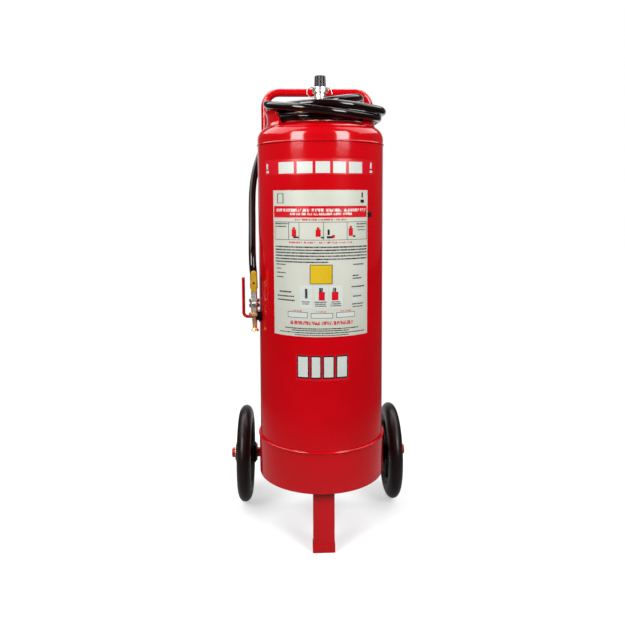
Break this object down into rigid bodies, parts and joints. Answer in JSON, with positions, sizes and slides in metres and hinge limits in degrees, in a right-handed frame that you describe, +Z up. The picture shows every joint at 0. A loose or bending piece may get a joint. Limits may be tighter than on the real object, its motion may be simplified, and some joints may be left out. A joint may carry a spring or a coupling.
{
  "type": "wheeled fire extinguisher",
  "caption": "Upright steel tank on two rubber wheels and a front leg, with a tube push frame, a strike head, and a hose wound on its shoulder that ends in a lever valve and jet nozzle.",
  "frame": {"origin": "on the ground under the middle of the object's length and width, measured without the hose", "axes": "+Z up along the tank, -Y to the front with the label and the leg, +X to the right as seen from the front"},
  "size_m": [0.4766, 0.4488, 1.115],
  "materials": {
    "red_paint": "glossy powder coat",
    "hose_rubber": "smooth, slightly glossy",
    "tyre_rubber": "matt",
    "black_plastic": "moulded, fine grain",
    "bright_steel": "bright turned",
    "nickel": "nickel plated",
    "brass": "turned brass",
    "zinc_steel": "yellow zinc plated",
    "yellow_grip": "dipped vinyl",
    "white_seat": "plain",
    "grey_steel": "plain",
    "label_sheet": "satin printed sheet, left bare"
  },
  "bodies": {
    "extinguisher": {"discharge_boss": "red_paint", "siphon_tube": "grey_steel", "siphon_strainer": "brass", "discharge_elbow": "brass", "hose_nut": "brass", "head_ferrule": "bright_steel", "jet_nozzle": "brass", "valve_body": "nickel", "valve_seat_upper": "white_seat", "valve_seat_lower": "white_seat", "valve_end": "nickel", "gland_nut": "brass", "tail_ferrule": "nickel", "tank_shell": "red_paint", "top_dome": "red_paint", "bottom_dome": "red_paint", "skirt": "red_paint", "hose_guard_right": "red_paint", "hose_guard_left": "red_paint", "front_label": "label_sheet", "neck_ring": "red_paint", "neck_gasket": "hose_rubber", "nozzle_hook": "red_paint", "hook_pad": "red_paint", "nozzle_rest": "black_plastic", "handle_frame": "red_paint", "frame_strap_upper": "red_paint", "frame_strap_lower": "red_paint", "axle_bracket_left": "red_paint", "axle_bracket_right": "red_paint", "axle": "red_paint", "left_inner_washer": "zinc_steel", "left_outer_washer": "zinc_steel", "left_axle_cap": "red_paint", "right_inner_washer": "zinc_steel", "right_outer_washer": "zinc_steel", "right_axle_cap": "red_paint", "front_leg": "red_paint", "leg_shoe": "red_paint", "hose_coil": "hose_rubber", "hose_drop": "hose_rubber"},
    "left_wheel": {"left_tyre": "tyre_rubber", "left_hub": "black_plastic", "left_bush": "nickel"},
    "right_wheel": {"right_tyre": "tyre_rubber", "right_hub": "black_plastic", "right_bush": "nickel"},
    "valve_lever": {"valve_lever": "bright_steel", "lever_grip": "yellow_grip", "lever_nut": "bright_steel", "valve_stem": "bright_steel", "valve_ball": "bright_steel"},
    "head": {"valve_head": "bright_steel", "cartridge_holder": "brass", "gas_cartridge": "grey_steel"},
    "cap_nut": {"cap_nut": "brass"},
    "plunger": {"strike_knob": "black_plastic", "strike_rod": "bright_steel", "strike_spring": "bright_steel"},
    "safety_clip": {"safety_clip": "bright_steel"}
  },
  "joints": [
    {"name": "left_wheel_spin", "type": "hinge", "parent": "extinguisher", "child": "left_wheel", "pos_m": [-0.1995, 0.09617, 0.1285], "axis": [1, 0, 0], "continuous": true},
    {"name": "right_wheel_spin", "type": "hinge", "parent": "extinguisher", "child": "right_wheel", "pos_m": [0.1995, 0.09617, 0.1285], "axis": [1, 0, 0], "continuous": true},
    {"name": "valve_lever_turn", "type": "hinge", "parent": "extinguisher", "child": "valve_lever", "pos_m": [-0.15993, -0.11093, 0.57899], "axis": [0, -1, 0], "range_deg": [0, 90]},
    {"name": "head_lift", "type": "slide", "parent": "extinguisher", "child": "head", "axis": [0, 0, 1], "range_m": [0, 0.34]},
    {"name": "cap_nut_turn", "type": "hinge", "parent": "head", "child": "cap_nut", "pos_m": [0, -0.06893, 1.035], "axis": [0, 0, 1], "range_deg": [0, 1080]},
    {"name": "plunger_strike", "type": "slide", "parent": "head", "child": "plunger", "axis": [0, 0, -1], "range_m": [0, 0.008], "stiffness_N_per_m": 1500, "springref_m": -0.004, "deforming": ["strike_spring"]},
    {"name": "safety_clip_pull", "type": "slide", "parent": "head", "child": "safety_clip", "axis": [0, 1, 0], "range_m": [0, 0.06]}
  ]
}
